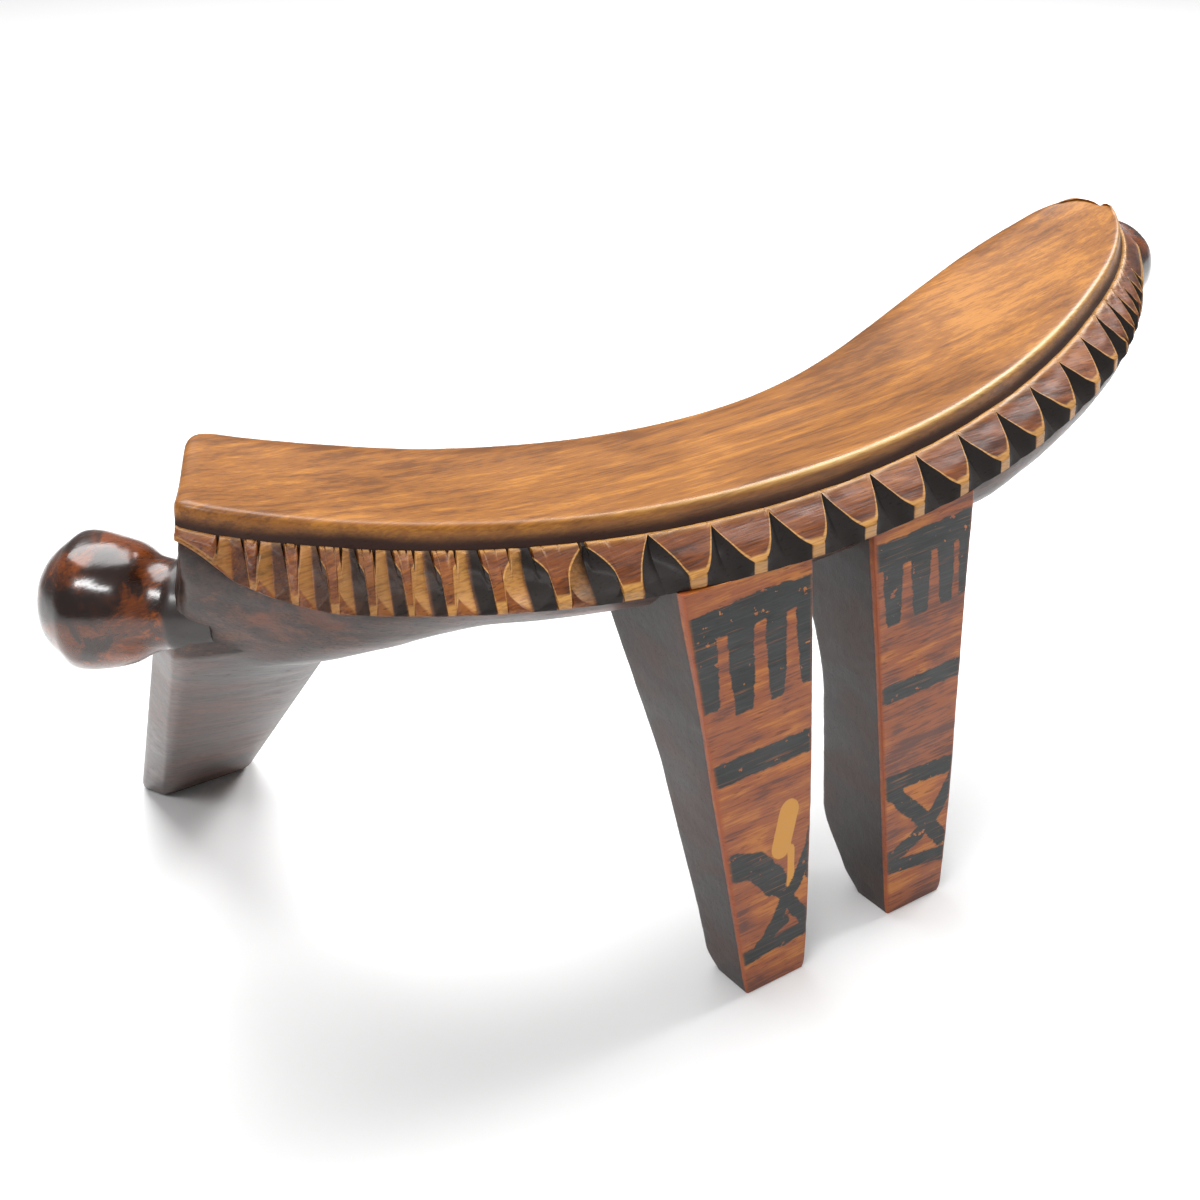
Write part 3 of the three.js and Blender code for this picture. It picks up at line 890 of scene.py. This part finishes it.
def seat_material():
    g, color, parts = wood("seat_wood", srgb(108, 62, 18), srgb(144, 88, 25), srgb(176, 114, 36),
                           srgb(232, 190, 122), srgb(46, 18, 6), fleck=0.35)
    return finish_wood(g, color, parts, (0.36, 0.5), 0.2, 0.22)


def rim_material():
    g, color, parts = wood("rim_wood", srgb(64, 28, 9), srgb(112, 56, 16), srgb(150, 86, 28),
                           srgb(204, 150, 78), srgb(20, 9, 4), fleck=0.75)
    return finish_wood(g, color, parts, (0.36, 0.52), 0.06, 0.4)


def body_material():
    g, color, parts = wood("dark_body_wood", srgb(30, 20, 16), srgb(52, 34, 27), srgb(84, 50, 32),
                           srgb(120, 66, 34), srgb(22, 14, 11), fleck=0.4, patches=(14, 20, 20))
    red = g.span(g.noise((30, 60, 60), 4, 12.5, 0.5), 0.52, 0.68)
    color = g.mix(g.math("MULTIPLY", red, g.attribute("warm")), color, srgb(112, 56, 26))
    return finish_wood(g, color, parts, (0.38, 0.52), 0.22, 0.35)


def knob_material():
    g, color, parts = wood("knob_wood", srgb(28, 13, 8), srgb(76, 34, 11), srgb(140, 70, 18),
                           srgb(128, 62, 16), srgb(26, 12, 7), fleck=0.5, patches=(60, 60, 60))
    blotch = g.span(g.noise((75, 75, 75), 5, 15.5, 0.8), 0.43, 0.55)
    color = g.mix(g.math("MULTIPLY", blotch, 0.92), color, srgb(28, 14, 9))
    return finish_wood(g, color, parts, (0.14, 0.26), 0.7, 0.25)


def leg_material():
    g, color, parts = wood("painted_leg_wood", srgb(92, 38, 11), srgb(150, 74, 20), srgb(186, 110, 34),
                           srgb(150, 72, 32), srgb(24, 14, 10), fleck=0.6, patches=(40, 40, 60))
    yellow = g.span(g.math("ADD", g.attribute("bare"),
                           g.math("MULTIPLY", g.math("SUBTRACT", parts["patch"], 0.5), 0.5)), 0.45, 0.7)
    color = g.mix(yellow, color, srgb(206, 142, 44))
    dark = g.mix(g.span(parts["patch"], 0.4, 0.65), srgb(34, 22, 18), srgb(58, 36, 28))
    face = g.span(g.math("ADD", g.attribute("front"), g.math("MULTIPLY", g.attribute("wear_and_highlight"), 0.6)),
                  0.35, 0.65)
    color = g.mix(face, dark, color)
    wobble = g.math("MULTIPLY", g.math("SUBTRACT", g.noise((280, 280, 380), 3, 3.3), 0.5), 1.9)
    brush = g.math("MULTIPLY", g.math("SUBTRACT", g.noise((160, 900, 2200), 2, 5.3), 0.5), 0.9)
    covered = g.span(g.math("ADD", g.attribute("paint"), g.math("ADD", wobble, brush)), -0.25, 0.35)
    chips = g.span(g.noise((330, 330, 420), 3, 8.4), 0.66, 0.70)
    rubbed_and_lit = g.math("MULTIPLY", g.span(g.noise((60, 700, 1500), 3, 11.0), 0.58, 0.72), 0.35)
    covered = g.math("MULTIPLY", covered, g.math("SUBTRACT", 1.0, chips, clamp=True))
    covered = g.math("MULTIPLY", covered, g.math("SUBTRACT", 1.0, rubbed_and_lit, clamp=True))
    covered = g.math("MULTIPLY", covered, g.math("SUBTRACT", 1.0, g.attribute("wear_and_highlight"), clamp=True))
    paint = g.mix(g.span(g.noise((90, 600, 1900), 3, 6.6), 0.45, 0.75), srgb(13, 18, 17),
                  srgb(38, 44, 41))
    color = g.mix(covered, color, paint)
    return finish_wood(g, color, parts, (0.38, 0.52), 0.12, 0.35)


# ---------------------------------------------------------------------------------------------
# The object
# ---------------------------------------------------------------------------------------------
def dress(made, material, slot, *nodes):
    made.data.materials.clear()
    made.data.materials.append(material)
    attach(made, "root")
    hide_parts(*nodes)


dress(make_pad(), seat_material(), "waxed_wood", "seat_pad")
dress(make_rim(), rim_material(), "waxed_wood", "toothed_rim")

body, rear_leg = make_body()
spots = positions(body)
near_rim = smooth(112, 132, spots[:, 2] - rise(spots[:, 0])) * (1 - smooth(-100, 60, spots[:, 0]))
set_value(body, "warm", np.clip(0.2 + 0.6 * near_rim, 0, 1))
set_value(body, "wear_and_highlight", np.zeros(len(spots)))
set_value(body, "soot_and_shade", np.zeros(len(spots)))
carve(body, [((30, 16, 12), 0.4, 21), ((9, 6, 5), 0.16, 22), ((3, 2, 2), 0.04, 23)])
shade(body, 50)
dark = body_material()
dress(body, dark, "dark_wood", "body_beam")
set_value(rear_leg, "warm", np.full(len(rear_leg.data.vertices), 0.25))
shade(rear_leg, 50)
rear_leg.name = "rear_leg_carved"
dress(rear_leg, dark, "dark_wood", "rear_leg")

leg_wood = leg_material()
dress(make_front_leg("front_leg_left_carved", LEFT_LEG, paint_left, 31), leg_wood,
      "painted_wood", "front_leg_left")
dress(make_front_leg("front_leg_right_carved", RIGHT_LEG, paint_right, 41), leg_wood,
      "painted_wood", "front_leg_right")

knob_wood = knob_material()
dress(make_knob("left_knob_carved", LEFT_KNOB, 51), knob_wood, "knob_wood", "left_knob")
dress(make_knob("right_knob_carved", RIGHT_KNOB, 61), knob_wood, "knob_wood", "right_knob")

# ---------------------------------------------------------------------------------------------
# Floor, lights and camera
# ---------------------------------------------------------------------------------------------
CAMERA_LENS_MM = 66
CAMERA_PLACE = (-0.4226, -0.5169, 0.4095)
CAMERA_AIM = (0.5458, 0.7041, -0.4542)
WORLD_STRENGTH = 0.25

bpy.context.scene.view_settings.view_transform = "Standard"

floor_mesh = bpy.data.meshes.new("floor")
floor_mesh.from_pydata([(-6, -6, 0), (6, -6, 0), (6, 6, 0), (-6, 6, 0)], [], [(0, 1, 2, 3)])
floor = bpy.data.objects.new("floor", floor_mesh)
bpy.context.scene.collection.objects.link(floor)
floor_paint = Graph("floor_paint")
floor_paint.shader.inputs["Base Color"].default_value = (0.93, 0.93, 0.93, 1)
floor_paint.shader.inputs["Roughness"].default_value = 0.9
floor_paint.shader.inputs["Specular IOR Level"].default_value = 0.1
floor.data.materials.append(floor_paint.material)

world = bpy.data.worlds.new("studio")
bpy.context.scene.world = world
world.use_nodes = True
world.node_tree.nodes["Background"].inputs[0].default_value = (1, 1, 1, 1)
world.node_tree.nodes["Background"].inputs[1].default_value = WORLD_STRENGTH


def softbox(name, place, target, width, height, watts):
    light = bpy.data.lights.new(name, "AREA")
    light.shape = "RECTANGLE"
    light.size, light.size_y, light.energy = width, height, watts
    lamp = bpy.data.objects.new(name, light)
    lamp.location = place
    lamp.rotation_mode = "QUATERNION"
    lamp.rotation_quaternion = (Vector(target) - Vector(place)).to_track_quat("-Z", "Y")
    bpy.context.scene.collection.objects.link(lamp)


softbox("key", (0.9, 0.1, 1.0), (0, 0, 0.1), 0.6, 0.6, 12)
softbox("overhead", (0.0, 0.5, 1.5), (0, 0, 0.1), 1.3, 1.3, 30)
softbox("front_strip", (-0.75, -0.45, 0.85), (-0.2, 0, 0.13), 0.5, 0.16, 5)

camera_data = bpy.data.cameras.new("camera")
camera_data.lens = CAMERA_LENS_MM
camera_data.sensor_width = 36
camera_data.clip_start, camera_data.clip_end = 0.01, 30
camera = bpy.data.objects.new("camera", camera_data)
camera.location = CAMERA_PLACE
camera.rotation_mode = "QUATERNION"
camera.rotation_quaternion = Vector(CAMERA_AIM).to_track_quat("-Z", "Y")
bpy.context.scene.collection.objects.link(camera)
bpy.context.scene.camera = camera
